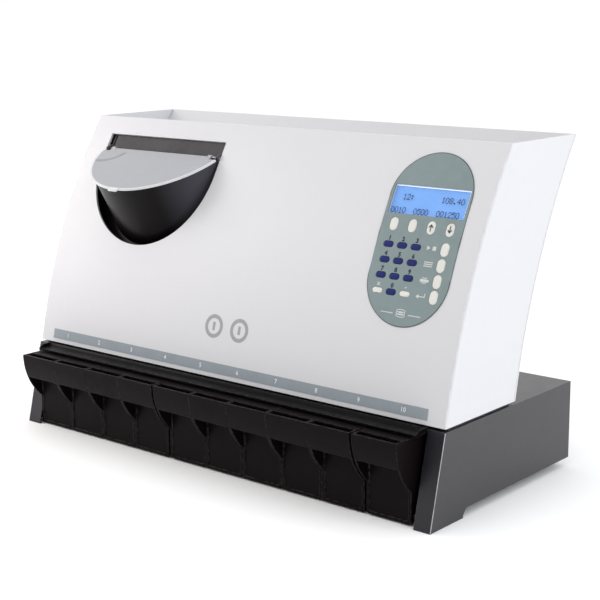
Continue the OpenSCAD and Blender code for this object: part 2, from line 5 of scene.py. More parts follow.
import bpy
import numpy as np
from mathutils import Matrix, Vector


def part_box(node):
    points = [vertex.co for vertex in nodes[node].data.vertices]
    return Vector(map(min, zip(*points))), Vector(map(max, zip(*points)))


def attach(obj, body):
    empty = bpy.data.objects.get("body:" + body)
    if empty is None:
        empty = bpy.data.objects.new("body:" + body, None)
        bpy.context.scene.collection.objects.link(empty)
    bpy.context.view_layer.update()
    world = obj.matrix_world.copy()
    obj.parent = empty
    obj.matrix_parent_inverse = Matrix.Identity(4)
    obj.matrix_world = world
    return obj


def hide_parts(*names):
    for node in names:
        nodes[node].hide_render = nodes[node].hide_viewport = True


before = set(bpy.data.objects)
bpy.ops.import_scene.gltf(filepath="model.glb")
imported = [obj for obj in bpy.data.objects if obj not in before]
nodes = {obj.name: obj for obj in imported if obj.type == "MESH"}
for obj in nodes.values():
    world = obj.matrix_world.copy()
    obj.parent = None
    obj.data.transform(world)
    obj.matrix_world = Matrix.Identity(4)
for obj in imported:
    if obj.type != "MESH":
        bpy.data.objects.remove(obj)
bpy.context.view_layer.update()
MM = 0.001

# ---------------------------------------------------------------- sizes of the machine
# In millimetres. Heights are from the table, and depths from the base's front foot, which lies
# foot_to_middle in front of the frame's origin.
foot_to_middle = 130.85
base_half_width = 320.0
base_depth = 284.0
base_top = 102.6
flange_lean = 25.2
housing_depth = 135.5
hopper_x = -180.3

# ---------------------------------------------------------------- camera, floor and lights
# The machine stands on a pale studio floor. The lens looks at it from its right front, from a
# little above, as a person does who walks up to the counter.
camera_data = bpy.data.cameras.new("camera")
camera_data.lens = 83.715
camera_data.sensor_width = 36.0
camera_data.shift_x = -0.0085
camera_data.shift_y = -0.0093
camera = bpy.data.objects.new("camera", camera_data)
camera.location = (1.09025, -1.25046, 0.53636)
camera_turns = (78.178, 0.318, 39.823)
camera.rotation_euler = [math.radians(turn) for turn in camera_turns]
bpy.context.scene.collection.objects.link(camera)
bpy.context.scene.camera = camera
bpy.context.scene.view_settings.view_transform = "Standard"


def put(tree, kind, inputs=None, **settings):
    """Adds a shader node. An input takes a number, a colour or the socket that feeds it."""
    node = tree.nodes.new("ShaderNode" + kind)
    for name, value in settings.items():
        setattr(node, name, value)
    for name, value in (inputs or {}).items():
        if isinstance(value, bpy.types.NodeSocket):
            tree.links.new(value, node.inputs[name])
        else:
            node.inputs[name].default_value = value
    return node


def linked(piece_name, data):
    """Puts a mesh, a curve or a light into the scene as an object at the origin."""
    piece = bpy.data.objects.new(piece_name, data)
    bpy.context.scene.collection.objects.link(piece)
    return piece


def new_material(name, settings):
    """A material whose shader takes the given settings, with its node tree and shader inputs."""
    material = bpy.data.materials.new(name)
    material.use_nodes = True
    tree = material.node_tree
    shader = tree.nodes["Principled BSDF"].inputs
    for label, value in settings.items():
        shader[label].default_value = value
    return material, tree, shader


def riding_piece(piece_name, points, faces, material, body, smooth=False):
    """Makes a piece from points in metres and faces and lets it ride on a body."""
    mesh = bpy.data.meshes.new(piece_name)
    mesh.from_pydata(points, [], faces)
    mesh.polygons.foreach_set("use_smooth", np.full(len(mesh.polygons), smooth))
    mesh.materials.append(material)
    piece = linked(piece_name, mesh)
    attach(piece, body)
    return piece


def softbox(name, place, aim, width, height, power, tint):
    """A rectangular studio light at place, turned towards aim."""
    data = bpy.data.lights.new(name, "AREA")
    data.shape = "RECTANGLE"
    data.size = width
    data.size_y = height
    data.energy = power
    data.color = tint
    light = linked(name, data)
    light.location = place
    away = np.subtract(place, aim)
    across = math.hypot(away[0], away[1])
    light.rotation_euler = (math.atan2(across, away[2]), 0.0, math.atan2(away[1], away[0]) + math.pi / 2)


# a sheet of white paper just under the feet
floor_reach = 30.0
floor_z = -0.0002
floor_corners = [(x * floor_reach, y * floor_reach, floor_z) for x, y in ((-1, -1), (1, -1), (1, 1), (-1, 1))]
floor_mesh = bpy.data.meshes.new("studio_floor")
floor_mesh.from_pydata(floor_corners, [], [(0, 1, 2, 3)])
floor = linked("studio_floor", floor_mesh)
paper = new_material("studio_paper", {"Base Color": (0.985, 0.985, 0.985, 1), "Roughness": 0.85,
                                      "Specular IOR Level": 0.2})[0]
floor_mesh.materials.append(paper)

sky = bpy.data.worlds.new("studio_sky")
sky.use_nodes = True
# the paper backdrop behind the machine is brighter than the room in front of it
backdrop_way = (0.42, 0.88, 0.2)
sky_tree = sky.node_tree
looked_at = put(sky_tree, "TexCoord").outputs["Generated"]
towards = put(sky_tree, "VectorMath", {0: looked_at, 1: backdrop_way}, operation="DOT_PRODUCT")
glow = put(sky_tree, "MapRange", {"Value": towards.outputs["Value"], "From Min": -0.75,
                                  "From Max": 0.36, "To Min": 0.065, "To Max": 1.05},
           interpolation_type="SMOOTHSTEP")
sky_tree.nodes["Background"].inputs["Color"].default_value = (1.0, 1.0, 1.0, 1)
sky_tree.links.new(glow.outputs["Result"], sky_tree.nodes["Background"].inputs["Strength"])
bpy.context.scene.world = sky

machine_middle = (0.0, 0.0, 0.2)
softbox("left_softbox", (-1.5, -0.7, 0.75), (-0.4, -0.15, 0.1), 0.7, 0.9, 13.0, (1.0, 0.95, 0.92))
softbox("right_softbox", (2.4, 0.15, 1.15), machine_middle, 1.6, 1.8, 20.5, (0.9, 0.95, 1.0))

# a wide silk overhead, towards the front
silk_data = bpy.data.lights.new("overhead_silk", "SUN")
silk_data.energy = 1.14
silk_data.angle = math.radians(70)
silk = linked("overhead_silk", silk_data)
silk.rotation_euler = (math.radians(36), 0.0, math.radians(-22))

# ---------------------------------------------------------------- effects shared by the finishes


def effect(name, inputs, outputs):
    """An empty shader node group with the named inputs and outputs, and its in and out nodes."""
    tree = bpy.data.node_groups.new(name, "ShaderNodeTree")
    kinds = {"value": "NodeSocketFloat", "vector": "NodeSocketVector"}
    for label, kind, value in inputs:
        socket = tree.interface.new_socket(label, in_out="INPUT", socket_type=kinds[kind])
        socket.default_value = value
    for label, kind in outputs:
        tree.interface.new_socket(label, in_out="OUTPUT", socket_type=kinds[kind])
    return tree, tree.nodes.new("NodeGroupInput").outputs, tree.nodes.new("NodeGroupOutput").inputs


# Moulded or coated surfaces: a fine pebbled grain, and a broad slow unevenness under it.
grain, given, result = effect(
    "surface_grain", [("Scale", "value", 900.0), ("Waviness", "value", 0.3)], [("Height", "value")])
place = put(grain, "TexCoord").outputs["Object"]
pebbles = put(grain, "TexNoise", {"Vector": place, "Scale": given["Scale"], "Detail": 2.0,
                                  "Roughness": 0.55})
waves = put(grain, "TexNoise", {"Vector": place, "Scale": 9.0, "Detail": 1.0})
both = put(grain, "Mix", {"Factor": given["Waviness"], 2: pebbles.outputs["Fac"], 3: waves.outputs["Fac"]},
           data_type="FLOAT")
grain.links.new(both.outputs[0], result["Height"])

# Marks of use: wiped smears and finger marks that make a surface a little duller here and there.
smears, given, result = effect("handling_marks", [("Scale", "value", 14.0)], [("Mask", "value")])
place = put(smears, "TexCoord").outputs["Object"]
broad = put(smears, "TexNoise", {"Vector": place, "Scale": given["Scale"], "Detail": 4.0,
                                 "Distortion": 1.2})
spots = put(smears, "TexNoise", {"Vector": place, "Scale": 120.0, "Detail": 3.0})
mixed = put(smears, "Math", {0: broad.outputs["Fac"], 1: spots.outputs["Fac"]}, operation="MULTIPLY")
spread = put(smears, "MapRange", {"Value": mixed.outputs[0], "From Min": 0.16, "From Max": 0.38})
smears.links.new(spread.outputs["Result"], result["Mask"])

# Outer edges: a mask that is 1 along an edge and breaks up, and the normal of a small round there.
edges, given, result = effect(
    "edges_for_wear_and_painted_light", [("Radius", "value", 0.0006), ("Breakup", "value", 260.0)],
    [("Mask", "value"), ("Normal", "vector")])
place = put(edges, "TexCoord").outputs["Object"]
rounded = put(edges, "Bevel", {"Radius": given["Radius"]}, samples=4)
flat = put(edges, "NewGeometry")
agreement = put(edges, "VectorMath", {0: rounded.outputs["Normal"], 1: flat.outputs["Normal"]},
                operation="DOT_PRODUCT")
edge = put(edges, "MapRange", {"Value": agreement.outputs["Value"], "From Min": 0.995, "From Max": 0.93})
breakup_noise = put(edges, "TexNoise", {"Vector": place, "Scale": given["Breakup"], "Detail": 3.0})
broken_up = put(edges, "MapRange", {"Value": breakup_noise.outputs["Fac"], "From Min": 0.42, "From Max": 0.62})
wear_and_painted_light_band = put(edges, "Math", {0: edge.outputs["Result"], 1: broken_up.outputs["Result"]}, operation="MULTIPLY")
edges.links.new(wear_and_painted_light_band.outputs[0], result["Mask"])
edges.links.new(rounded.outputs["Normal"], result["Normal"])

# Settled dust: pale, thin, and only on faces that look up.
dust, given, result = effect("settled_dust", [("Amount", "value", 0.2)], [("Mask", "value")])
place = put(dust, "TexCoord").outputs["Object"]
upward = put(dust, "SeparateXYZ", {"Vector": put(dust, "NewGeometry").outputs["Normal"]})
facing = put(dust, "MapRange", {"Value": upward.outputs["Z"], "From Min": 0.75, "From Max": 1.0})
patches = put(dust, "TexNoise", {"Vector": place, "Scale": 35.0, "Detail": 5.0, "Roughness": 0.7})
settled = put(dust, "Math", {0: facing.outputs["Result"], 1: patches.outputs["Fac"]}, operation="MULTIPLY")
amount = put(dust, "Math", {0: settled.outputs[0], 1: given["Amount"]}, operation="MULTIPLY")
dust.links.new(amount.outputs[0], result["Mask"])


def use(tree, effect_tree, **values):
    """Places a shared effect in a material with its own values."""
    node = tree.nodes.new("ShaderNodeGroup")
    node.node_tree = effect_tree
    for name, value in values.items():
        node.inputs[name].default_value = value
    return node


def blend_colours(tree, mask, first, second):
    """first where the mask is 0 and second where it is 1."""
    node = put(tree, "Mix", data_type="RGBA")
    tree.links.new(mask, node.inputs["Factor"])
    for socket, value in ((node.inputs[6], first), (node.inputs[7], second)):
        if isinstance(value, bpy.types.NodeSocket):
            tree.links.new(value, socket)
        else:
            socket.default_value = (*value, 1.0)
    return node.outputs[2]


dust_colour = (0.55, 0.54, 0.52)


def finish(name, colour, roughness, grain_scale=900.0, grain_depth=0.00002, dull=0.12, tone=0.06,
           edge_radius=0.0006, edge_colour=None, dust_amount=0.15, metallic=0.0, specular=0.5, coat=0.0):
    """A solid finish: two close tones, grain, smears that dull it, rounded edges tinted with wear (on some
    finishes a painted highlight or painted shade), and dust.
    """
    material, tree, shader = new_material(name, {
        "Metallic": metallic, "Specular IOR Level": specular, "Coat Weight": coat, "Coat Roughness": 0.1})
    marks = use(tree, smears, Scale=11.0)
    darker = tuple(c * (1.0 - tone) for c in colour)
    shade = blend_colours(tree, marks.outputs["Mask"], colour, darker)
    # edge colour: rubbed wear by default; the white paint, the coin boxes and the ledge give a painted
    # highlight there, and the overlay film painted shade
    rim = use(tree, edges, Radius=edge_radius)
    edge_wear_and_painted_light = edge_colour or tuple(min(1.0, c * 1.25 + 0.02) for c in colour)
    shade = blend_colours(tree, rim.outputs["Mask"], shade, edge_wear_and_painted_light)
    film = use(tree, dust, Amount=dust_amount)
    shade = blend_colours(tree, film.outputs["Mask"], shade, dust_colour)
    tree.links.new(shade, shader["Base Color"])
    rough = put(tree, "MapRange", {"Value": marks.outputs["Mask"], "To Min": roughness,
                                   "To Max": min(1.0, roughness + dull)})
    tree.links.new(rough.outputs["Result"], shader["Roughness"])
    texture = use(tree, grain, Scale=grain_scale)
    bump = put(tree, "Bump", {"Strength": 1.0, "Distance": grain_depth,
                              "Height": texture.outputs["Height"], "Normal": rim.outputs["Normal"]})
    tree.links.new(bump.outputs["Normal"], shader["Normal"])
    return material


def dress(material, *names):
    """Gives CAD nodes a finish in their own material slots."""
    for name in names:
        node = nodes[name]
        if not node.material_slots:
            node.data.materials.append(material)
        for slot in node.material_slots:
            slot.material = material


# ---------------------------------------------------------------- steel base
# The base is a tray of 1.5 mm sheet steel, folded and spot-welded, then powder-coated in a fine
# satin black. Where the sheet was cut, its edge has rubbed bare.
bare_steel = (0.62, 0.63, 0.65)
powder_coat = finish("black_powder_coat", (0.0115, 0.0102, 0.0155), 0.32, grain_scale=1500.0,
                     grain_depth=0.00003, dull=0.04, tone=0.03, edge_radius=0.0006,
                     edge_colour=(0.22, 0.215, 0.21), dust_amount=0.015, specular=0.7)
dress(powder_coat, "base_shell", "base_floor")
# its paler edge colour is a painted highlight along the ledge's edges
ledge_coat = finish("black_ledge_coat", (0.0035, 0.003, 0.0032), 0.33, grain_scale=1500.0,
                    grain_depth=0.00003, edge_radius=0.0008, edge_colour=(0.10, 0.095, 0.09),
                    dust_amount=0.0, specular=0.06)
dress(ledge_coat, "front_ledge")
rubber = finish("moulded_rubber", (0.018, 0.018, 0.018), 0.75, grain_scale=700.0, grain_depth=0.00005)
dress(rubber, "rubber_feet")


def flat_piece(piece_name, corners, quads, material, body):
    """A piece of flat faces: corners in millimetres from the front foot of the base."""
    points = [(x * MM, (y - foot_to_middle) * MM, z * MM) for x, y, z in corners]
    return riding_piece(piece_name, points, quads, material, body)


cut_metal = finish("cut_edge_metal", bare_steel, 0.34, grain_scale=2500.0, tone=0.4, metallic=1.0,
                   dust_amount=0.0)
proud, on_flange, on_side = 0.05, 0.5, 0.75
for side_name, side in (("left", -1), ("right", 1)):
    # three points across the corner: on the flange, at the corner and on the side, just proud of each
    outer = base_half_width + proud
    across_corner = [(base_half_width - on_flange, -proud), (outer, -proud), (outer, on_side)]
    # the same three at the foot and at the top, as shares of the base's height
    corners = [(side * x, y + flange_lean * share, base_top * share)
               for share in (0.005, 0.995) for x, y in across_corner]
    quads = [(0, 1, 4, 3), (1, 2, 5, 4)] if side > 0 else [(1, 0, 3, 4), (2, 1, 4, 5)]
    flat_piece("cut_edge_" + side_name, corners, quads, cut_metal, "chassis")

# ---------------------------------------------------------------- coin boxes
# Ten pull-out boxes, injection-moulded in black with a lightly textured skin. Each has a curved
# lip that the fingers pull, with a hollow under it.
# its paler edge colour is a painted highlight on the lips' edges
box_plastic = finish("textured_black_moulding", (0.0055, 0.0036, 0.0042), 0.38, grain_scale=1300.0,
                     grain_depth=0.00003, edge_radius=0.0009, edge_colour=(0.085, 0.078, 0.076),
                     dust_amount=0.002, specular=0.06)
box_names = [name for name in nodes if name.startswith("coin_box_")]
dress(box_plastic, *box_names)

# ---------------------------------------------------------------- housing
# A tall one-piece front cover with a convex leaning face, moulded in white and painted satin. The
# flat rear panel and the sunken tray in the top are separate mouldings of the same finish.
# its pale edge colour is a painted highlight along the rounded corners
white_paint = finish("satin_white_paint", (0.645, 0.643, 0.665), 0.38, grain_scale=650.0,
                     grain_depth=0.000008, dull=0.05, tone=0.01, edge_radius=0.0006,
                     edge_colour=(0.88, 0.88, 0.9), dust_amount=0.1)
dress(white_paint, "front_housing", "back_panel", "top_tray")

# ---------------------------------------------------------------- hopper
# A black bowl hangs behind a round opening. A dark grey crossbar carries the pins of a half-moon
# lid in frosted plastic.
satin_black = finish("satin_black_moulding", (0.0030, 0.0026, 0.0028), 0.3, grain_scale=1100.0,
                     grain_depth=0.00001, dull=0.04, edge_radius=0.0006, dust_amount=0.0, specular=0.06)
dress(satin_black, "hopper_bezel")


def bowl_skin():
    """The bowl's satin skin: black in the middle, with a painted sheen that makes its two flanks paler.

    A flank is where the surface faces along X; the sheen is painted a warm grey on the left one and a cool
    grey on the right one.
    """
    material = finish("bowl_skin", (0.0045, 0.0034, 0.0038), 0.3, grain_scale=1100.0, grain_depth=0.00001,
                      dull=0.04, edge_radius=0.0006, dust_amount=0.0, specular=0.1)
    tree = material.node_tree
    shader = tree.nodes["Principled BSDF"]
    normal = put(tree, "NewGeometry").outputs["Normal"]
    sideways = put(tree, "SeparateXYZ", {"Vector": normal}).outputs["X"]
    shade = shader.inputs["Base Color"].links[0].from_socket
    # painted sheen: these paler greys on the flanks stand in for reflected light
    warm_painted_sheen, cool_painted_sheen = (0.060, 0.052, 0.050), (0.062, 0.060, 0.072)
    for start, end, tone in ((-0.35, -0.95, warm_painted_sheen), (0.45, 0.95, cool_painted_sheen)):
        flank = put(tree, "MapRange", {"Value": sideways, "From Min": start, "From Max": end},
                    interpolation_type="SMOOTHSTEP")
        shade = blend_colours(tree, flank.outputs["Result"], shade, tone)
    tree.links.new(shade, shader.inputs["Base Color"])
    return material


dress(bowl_skin(), "hopper_bowl")
bar_grey = finish("crossbar_grey", (0.055, 0.052, 0.054), 0.5, grain_scale=800.0, grain_depth=0.00004,
                  specular=0.25)
dress(bar_grey, "hopper_bar")
polished = finish("polished_pins", (0.3, 0.3, 0.31), 0.3, metallic=1.0, dust_amount=0.0)
dress(polished, "hinge_pins")


def frosted():
    """Frosted clear plastic: milky, with a soft sheen, and a paler rim that is a painted highlight for the
    light its edge gathers.

    The rim is where a point's distance from the middle of the lid's circle passes rim_start.
    """
    material = finish("frosted_lid", (0.385, 0.39, 0.42), 0.2, grain_scale=700.0,
                      grain_depth=0.000004, edge_radius=0.0002,
                      dull=0.06, tone=0.03, edge_colour=(0.5, 0.505, 0.53), dust_amount=0.0)
    tree = material.node_tree
    shader = tree.nodes["Principled BSDF"]
    circle_middle = (hopper_x * MM, -1.34 * MM, 355.7 * MM)
    rim_start = 100.2 * MM
    rim_blur = 0.4 * MM
    spot = put(tree, "TexCoord").outputs["Object"]
    away = put(tree, "VectorMath", {0: spot, 1: circle_middle}, operation="DISTANCE")
    in_rim = put(tree, "MapRange", {"Value": away.outputs["Value"], "From Min": rim_start,
                                    "From Max": rim_start + rim_blur})
    plain = shader.inputs["Base Color"].links[0].from_socket
    # painted highlight: the rim's pale colour stands in for light that the lid's edge gathers
    rim_painted_highlight = blend_colours(tree, in_rim.outputs["Result"], plain, (0.70, 0.705, 0.72))
    tree.links.new(rim_painted_highlight, shader.inputs["Base Color"])
    shader.inputs["Transmission Weight"].default_value = 0.05
    shader.inputs["IOR"].default_value = 1.49
    return material


dress(frosted(), "hopper_lid")



def corner_boss():
    """A darker crescent at the lid's left rear corner: a painted shadow, a flat dark arc for the shade seen
    through the frosted lid.

    It is drawn in the lid's own plane: across from the hinge's middle, along the slope from the
    pins, and raised over them.
    """
    hinge_middle = np.array([hopper_x, -12.22, 350.63])
    slope = math.radians(25)
    shadow_across, shadow_along, raised = -84.0, -5.0, 2.06
    outer, inner = 30.0, 24.5
    steps = 32
    angle = np.radians(np.linspace(-8, -104, steps + 1))
    radius = np.array([[outer], [inner]])
    across = shadow_across + radius * np.cos(angle)
    along = shadow_along + radius * np.sin(angle)
    points = hinge_middle + np.stack([across, along * math.cos(slope) - raised * math.sin(slope),
                                      along * math.sin(slope) + raised * math.cos(slope)], -1)
    faces = [(i, i + steps + 1, i + steps + 2, i + 1) for i in range(steps)]
    # painted shadow: the arc's dark grey stands in for shade seen through the lid
    painted_lid_shadow = finish("painted_lid_shadow", (0.27, 0.275, 0.29), 0.3, edge_radius=0.0001, dust_amount=0.0)
    riding_piece("lid_corner_painted_shadow", (points.reshape(-1, 3) * MM).tolist(), faces, painted_lid_shadow, "lid")


corner_boss()

# ---------------------------------------------------------------- number strip
# A printed label along the foot of the housing, with the number of each box in small white figures.
strip_grey = finish("printed_strip", (0.27, 0.31, 0.345), 0.45, grain_scale=500.0, grain_depth=0.00001,
                    edge_radius=0.0002)
dress(strip_grey, "number_strip")

# the housing's front face, an arc in the (Y, Z) plane: its radius, and the lean at its lower edge
face_radius = 789.8 * MM
face_lean = math.radians(11.16)
face_edge_y = (26.25 - foot_to_middle) * MM
face_foot_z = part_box("front_housing")[0].z


def on_face(x, s, lift):
    """Points on the front face: x along it, s up it from its lower edge, and lift out of it.

    The face is an arc of face_radius. After s the normal has turned by s / radius, so
    y = foot + R (cos lean0 - cos lean) - lift cos lean and
    z = foot + R (sin lean - sin lean0) + lift sin lean.
    """
    lean = face_lean + s / face_radius
    y = face_edge_y + face_radius * (np.cos(face_lean) - np.cos(lean)) - lift * np.cos(lean)
    z = face_foot_z + face_radius * (np.sin(lean) - np.sin(face_lean)) + lift * np.sin(lean)
    return np.stack([x + 0 * s, y, z], axis=-1)


def flat_text(body, size, weight=0.0):
    """A text's outline filled as flat faces, centred on (0, 0), its strokes widened by weight."""
    curve = bpy.data.curves.new("text", "FONT")
    curve.body = body
    curve.size = size
    curve.offset = weight
    curve.align_x = "CENTER"
    curve.align_y = "CENTER"
    curve.resolution_u = 3
    holder = linked("text", curve)
    mesh = bpy.data.meshes.new_from_object(holder.evaluated_get(bpy.context.evaluated_depsgraph_get()))
    points = np.empty(len(mesh.vertices) * 3)
    mesh.vertices.foreach_get("co", points)
    faces = [tuple(polygon.vertices) for polygon in mesh.polygons]
    bpy.data.objects.remove(holder)
    bpy.data.curves.remove(curve)
    bpy.data.meshes.remove(mesh)
    return points.reshape(-1, 3)[:, :2], faces


def printed(piece_name, marks, lift, material, body):
    """Prints marks on the front face. A mark is (points, faces, x, s), drawn flat round (0, 0)."""
    points, faces, count = [], [], 0
    for outline, polygons, x, s in marks:
        points.append(on_face(x + outline[:, 0], s + outline[:, 1], lift))
        faces += [tuple(i + count for i in polygon) for polygon in polygons]
        count += len(outline)
    return riding_piece(piece_name, np.concatenate(points).tolist(), faces, material, body)


white_ink = finish("white_ink", (0.82, 0.83, 0.84), 0.5, edge_radius=0.0001, dust_amount=0.0)
first_number_x, number_pitch, number_line = -268.0 * MM, 59.13 * MM, 10.9 * MM
number_size, number_weight, strip_lift = 7.4 * MM, 0.1 * MM, 0.45 * MM
strip_marks = [(*flat_text(str(i + 1), number_size, number_weight), first_number_x + number_pitch * i,
                number_line) for i in range(len(box_names))]
printed("strip_numbers", strip_marks, strip_lift, white_ink, "chassis")

# ---------------------------------------------------------------- works and rear
# What the covers hide: plates, motors, boards and the mains inlet, each in the finish of its kind.
sheet_steel = finish("zinc_plated_steel", (0.56, 0.57, 0.58), 0.32, metallic=1.0, dust_amount=0.05)
dress(sheet_steel, "sort_plate", "coin_rail", "power_supply")
dress(finish("motor_casing", (0.42, 0.43, 0.45), 0.4, metallic=1.0), "drive_motors")
dress(finish("wear_disc", (0.66, 0.63, 0.5), 0.5), "feed_disc")
dress(finish("black_nylon", (0.03, 0.03, 0.032), 0.45), "drive_pulley", "idler_pulley", "chute_rack",
      "power_inlet", "power_rocker")
dress(finish("belt_rubber", (0.02, 0.045, 0.03), 0.7), "transport_belt")
dress(finish("board_lacquer", (0.01, 0.13, 0.05), 0.3, coat=0.5), "control_board", "key_board")
dress(finish("wound_copper", (0.7, 0.33, 0.14), 0.4, metallic=1.0), "gate_solenoids")


def grid_faces(rows, columns):
    """The quads of a grid of points, rows by columns, whose last column joins its first."""
    r, c = np.meshgrid(np.arange(rows - 1), np.arange(columns), indexing="ij")
    after = (c + 1) % columns
    here, below = r * columns, (r + 1) * columns
    return np.stack([here + c, here + after, below + after, below + c], -1).reshape(-1, 4)


def tube_faces(rows, around):
    """The faces of a closed surface: rows of points round an axis, and a cap over each end."""
    caps = [[*range(around - 1, -1, -1)], [*range((rows - 1) * around, rows * around)]]
    return grid_faces(rows, around).tolist() + caps


# the three flat blades of the mains socket, the middle one higher than its neighbours
inlet_x, inlet_z = -254.0, 56.0
blade_w, blade_h = 2.0, 4.4
blade_root, blade_tip = 267.5, 281.0
box_faces = ((0, 1, 3, 2), (4, 6, 7, 5), (0, 4, 5, 1), (2, 3, 7, 6), (0, 2, 6, 4), (1, 5, 7, 3))
blades, quads = [], []
for offset, raised in ((-6.0, -1.5), (0.0, 2.5), (6.0, -1.5)):
    start = len(blades)
    blades += [(inlet_x + offset + side * blade_w / 2, y, inlet_z + raised + end * blade_h / 2)
               for side in (-1, 1) for y in (blade_root, blade_tip) for end in (-1, 1)]
    quads += [tuple(start + i for i in face) for face in box_faces]
flat_piece("inlet_blades", blades, quads, cut_metal, "chassis")


screw_steel = finish("screw_steel", (0.5, 0.5, 0.51), 0.3, metallic=1.0, dust_amount=0.0)
head_radius, head_height = 3.4, 1.7
cross_reach, cross_half_width, cross_depth = 2.0, 0.5, 0.7


def screw_heads(piece_name, spots, place_of):
    """Pan-head screws with a cross recess, as one piece.

    Height over the seat at radius r is head_height sqrt(1 - (r / head_radius)^2), less cross_depth
    inside the cross. place_of turns (u, v, height) at a spot into a point.
    """
    around = 64
    angle = np.linspace(0, 2 * math.pi, around, endpoint=False)
    radius = np.array([3.39, 3.2, 2.8, 2.3, 2.05, 1.95, 1.4, 0.9, 0.6, 0.45, 0.2])
    r, a = np.meshgrid(radius, angle, indexing="ij")
    u, v = r * np.cos(a), r * np.sin(a)
    cross = (r < cross_reach) & ((np.abs(u) < cross_half_width) | (np.abs(v) < cross_half_width))
    level = head_height * np.sqrt(1 - (r / head_radius) ** 2) - cross_depth * cross
    points, faces = [], []
    for spot in spots:
        start = len(points)
        points += place_of(spot, u * MM, v * MM, level * MM).reshape(-1, 3).tolist()
        faces += [[start + i for i in face] for face in tube_faces(len(radius), around)]
    riding_piece(piece_name, points, faces, screw_steel, "chassis")


def on_rear_wall(spot, u, v, level):
    """A point near a spot (x, z) on the base's rear wall, level out of it."""
    return np.stack([spot[0] * MM - u, (base_depth - foot_to_middle) * MM + level, spot[1] * MM + v], -1)


def on_back_panel(spot, u, v, level):
    """A point near a spot (x, s) on the housing's rear panel, whose curve is that of the front."""
    points = on_face(spot[0] * MM - u, spot[1] * MM + v, -level)
    points[..., 1] += housing_depth * MM
    return points


screw_heads("rear_wall_screws", [(x, z) for x in (-308, -60, 20, 308) for z in (22, 92)], on_rear_wall)
screw_heads("back_panel_screws", [(x, s) for x in (-305, -100, 100, 305) for s in (10, 284)], on_back_panel)

# ---------------------------------------------------------------- control panel
# A grey-green printed membrane in a shallow rebate. A character display looks out of a window in
# it, and twenty rubber keys stand through it.
# its slightly darker edge colour is painted shade along the membrane's edge in the rebate
overlay_film = finish("overlay_film", (0.2, 0.255, 0.26), 0.5, grain_scale=1600.0, grain_depth=0.00002,
                      edge_radius=0.0003, edge_colour=(0.2, 0.25, 0.24), dust_amount=0.0)
dress(overlay_film, "panel_overlay")

panel_x = 240.7 * MM
key_columns = [204.4 * MM, 228.9 * MM, 253.3 * MM, 277.6 * MM]
number_columns = [204.4 * MM, 222.4 * MM, 240.5 * MM]
number_rows = [183.1 * MM, 165.7 * MM, 148.6 * MM, 131.4 * MM]
function_rows = [184.0 * MM, 166.4 * MM, 149.1 * MM, 132.1 * MM]
soft_row = 206.0 * MM
overlay_lift = 0.72 * MM
number_key = (13.1 * MM, 6.9 * MM)
clear_key = (13.1 * MM, 6.0 * MM)
tall_key = (10.2 * MM, 15.2 * MM)

white_rubber = finish("white_key_rubber", (0.70, 0.70, 0.655), 0.55, grain_scale=1800.0,
                      grain_depth=0.00002, edge_radius=0.0003, dust_amount=0.0)
navy_rubber = finish("navy_key_rubber", (0.008, 0.017, 0.12), 0.45, grain_scale=1800.0,
                     grain_depth=0.00002, edge_radius=0.0003, edge_colour=(0.02, 0.035, 0.2),
                     dust_amount=0.0, specular=0.2)


def key_cap(node_name, x, s, size, material):
    """A rubber key: a pill outline with a rounded top edge and a slightly domed top.

    Outline: a point at angle a is the nearest end of the pill's middle line plus
    (half_width - inset) (cos a, sin a). Profile: straight up the side, a quarter round of the
    edge radius (inset = e (1 - cos b), height = top - e + e sin b), then inwards to the middle
    while the height grows by dome (1 - r^2).
    """
    width, height = size
    narrow = min(width, height) / 2
    reach = max(width, height) / 2 - narrow
    edge, dome = 0.8 * MM, 0.25 * MM
    top, foot = 0.95 * MM, -5.0 * MM
    turn = np.linspace(0, math.pi / 2, 7)
    inward = np.linspace(0, 1, 6)[1:-1]
    inset = np.concatenate([[0, 0], edge * (1 - np.cos(turn)), edge + (narrow - edge) * inward])
    level = np.concatenate([[foot, foot * 0.5], top - edge + edge * np.sin(turn),
                            top + dome * (1 - (1 - inward) ** 2)])
    angle = np.linspace(0, 2 * math.pi, 48, endpoint=False)
    middle = reach * np.sign(np.round(np.cos(angle) if width > height else np.sin(angle), 9))
    along_x = middle if width > height else 0 * middle
    along_s = 0 * middle if width > height else middle
    radius = (narrow - inset)[:, None]
    px = x + along_x + radius * np.cos(angle)
    ps = s + along_s + radius * np.sin(angle)
    points = on_face(px, ps, level[:, None] + 0 * px).reshape(-1, 3)
    piece = riding_piece(node_name + "_cap", points.tolist(), tube_faces(len(inset), len(angle)), material,
                         node_name, smooth=True)
    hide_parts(node_name)


for node_name, x in zip(("key_blank_1", "key_blank_2", "key_up", "key_down"), key_columns):
    key_cap(node_name, x, soft_row, tall_key, white_rubber)
for node_name, s in zip(("key_start_stop", "key_batch", "key_print", "key_enter"), function_rows):
    key_cap(node_name, key_columns[3], s, tall_key, white_rubber)
digit_places = {digit: (number_columns[(digit - 1) % 3], number_rows[(digit - 1) // 3])
                for digit in range(1, 10)}
digit_places[0] = (number_columns[1], number_rows[3])
for digit, (x, s) in digit_places.items():
    key_cap(f"key_{digit}", x, s, number_key, navy_rubber)
key_cap("key_clear", number_columns[0], number_rows[3], clear_key, white_rubber)
key_cap("key_point", number_columns[2], number_rows[3], clear_key, white_rubber)

# Screen print on the membrane and the keys: navy figures, and pale signs for the functions.
navy_ink = finish("navy_ink", (0.004, 0.006, 0.03), 0.5, edge_radius=0.0001, dust_amount=0.0)
figure_size, figure_weight = 6.8 * MM, 0.32 * MM
figure_rise = 6.9 * MM


def polygon_mark(corners, x, s):
    """One flat face with the given corners in millimetres, as a mark at (x, s)."""
    return np.array(corners, float) * MM, [tuple(range(len(corners)))], x, s


